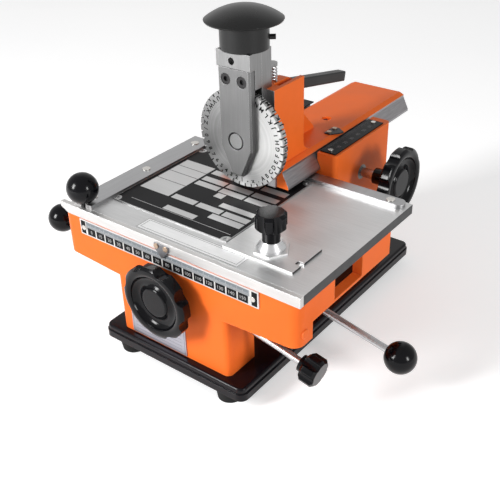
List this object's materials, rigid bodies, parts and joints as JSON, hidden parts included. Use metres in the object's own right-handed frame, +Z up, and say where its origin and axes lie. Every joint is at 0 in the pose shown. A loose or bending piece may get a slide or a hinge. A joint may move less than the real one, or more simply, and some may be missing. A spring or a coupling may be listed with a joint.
{
  "type": "nameplate marking machine",
  "caption": "Hand marking machine for metal nameplates: type wheel on a sprung press head, dovetail head slide, table on guide rods, rack drives with lobed handwheels, side levers and stops.",
  "frame": {"origin": "on the surface under the feet, below the ram in X and midway between the front handwheel's face and the back of the head slide in Y", "axes": "+X to the operator's right along the work table, +Y to the back along the head slide, +Z up"},
  "size_m": [0.3353, 0.322, 0.2678],
  "materials": {
    "orange_paint": "gloss",
    "black_paint": "satin",
    "bright_steel": "brushed",
    "chrome": "polished",
    "dark_steel": "blackened",
    "plate_metal": "satin",
    "black_strip": "satin",
    "small_screws": "bright",
    "black_plastic": "gloss",
    "rubber": "matt",
    "bush_brass": "turned"
  },
  "bodies": {
    "frame": {"base_plate": "black_paint", "rubber_feet": "rubber", "foot_screws": "dark_steel", "body_bolts": "dark_steel", "bed_casting": "orange_paint", "rear_block": "orange_paint", "gib_strip": "bright_steel", "gib_screws": "dark_steel", "x_scale_plate": "plate_metal", "y_scale_plate": "plate_metal", "cover_plate": "black_strip", "scale_screws": "small_screws", "data_plate": "plate_metal", "shaft_bushes": "bush_brass", "guide_rods": "bright_steel", "table_lever_pin": "bright_steel"},
    "table": {"table_plate": "bright_steel", "front_strip": "bright_steel", "side_rail": "bright_steel", "rear_rail": "bright_steel", "rail_screws": "small_screws", "x_rack": "bright_steel", "carriages": "bright_steel", "x_pointer": "dark_steel", "x_pointer_screws": "small_screws", "table_ball": "black_plastic", "nameplate_blank": "plate_metal"},
    "stop": {"stop_plate": "plate_metal", "stop_washer": "dark_steel", "stop_bolt": "bright_steel"},
    "stop_knob": {"stop_knob": "black_plastic", "stop_cone": "chrome"},
    "x_drive": {"front_handwheel": "black_plastic", "front_shaft": "bright_steel", "x_pinion": "bright_steel"},
    "y_drive": {"side_handwheel": "black_plastic", "side_shaft": "bright_steel", "y_pinion": "bright_steel"},
    "head": {"head_slide": "orange_paint", "y_rack": "bright_steel", "y_pointer": "dark_steel", "y_pointer_screws": "small_screws", "return_springs": "bright_steel", "lever_pivot_pin": "bright_steel"},
    "ram": {"ram_block": "bright_steel", "ram_bar": "bright_steel", "press_cap": "black_paint", "neck_pin": "dark_steel", "front_arm": "bright_steel", "arm_screws": "dark_steel", "wheel_axle": "bright_steel"},
    "type_wheel": {"type_wheel": "bright_steel"},
    "lever": {"hand_lever": "orange_paint", "lever_grip": "black_plastic"},
    "table_lever": {"table_lever": "chrome", "table_lever_ball": "black_plastic"},
    "release": {"release_rod": "chrome", "release_ball": "black_plastic"},
    "pitch_screw": {"pitch_screw": "chrome", "pitch_knob": "black_plastic"}
  },
  "joints": [
    {"name": "table_slide", "type": "slide", "parent": "frame", "child": "table", "axis": [1, 0, 0], "range_m": [-0.077, 0.06]},
    {"name": "x_handwheel", "type": "hinge", "parent": "frame", "child": "x_drive", "pos_m": [0.0005, -0.142, 0.0765], "axis": [0, 1, 0], "range_deg": [-256.5, 200]},
    {"name": "head_slide_y", "type": "slide", "parent": "frame", "child": "head", "axis": [0, 1, 0], "range_m": [-0.035, 0.035]},
    {"name": "y_handwheel", "type": "hinge", "parent": "frame", "child": "y_drive", "pos_m": [0.049, 0.053, 0.1107], "axis": [1, 0, 0], "range_deg": [-117, 117]},
    {"name": "ram_press", "type": "slide", "parent": "head", "child": "ram", "axis": [0, 0, -1], "range_m": [0, 0.0044], "stiffness_N_per_m": 3000, "springref_m": -0.014, "deforming": ["return_springs"]},
    {"name": "hand_lever", "type": "hinge", "parent": "head", "child": "lever", "pos_m": [0, -0.009, 0.1961], "axis": [1, 0, 0], "range_deg": [0, 10.6]},
    {"name": "type_wheel_spin", "type": "hinge", "parent": "ram", "child": "type_wheel", "pos_m": [0, -0.047, 0.1673], "axis": [0, 1, 0], "continuous": true},
    {"name": "stop_slide", "type": "slide", "parent": "table", "child": "stop", "axis": [1, 0, 0], "range_m": [-0.0012, 0.008]},
    {"name": "stop_knob_spin", "type": "hinge", "parent": "stop", "child": "stop_knob", "pos_m": [0.071, -0.108, 0.1245], "axis": [0, 0, 1], "continuous": true},
    {"name": "table_lever", "type": "hinge", "parent": "frame", "child": "table_lever", "pos_m": [0.014, -0.062, 0.0643], "axis": [0, 1, 0], "range_deg": [-12, 0]},
    {"name": "release_pull", "type": "slide", "parent": "frame", "child": "release", "axis": [-1, 0, 0], "range_m": [0, 0.008]},
    {"name": "pitch_screw_spin", "type": "hinge", "parent": "frame", "child": "pitch_screw", "pos_m": [0.1165, -0.122, 0.0456], "axis": [0.9781, 0, -0.2079], "continuous": true}
  ],
  "couplings": [
    {"joint": "x_handwheel", "follows": "table_slide", "rad_per_m": 57.971},
    {"joint": "y_handwheel", "follows": "head_slide_y", "rad_per_m": -57.971},
    {"joint": "hand_lever", "follows": "ram_press", "rad_per_m": 41.146}
  ]
}
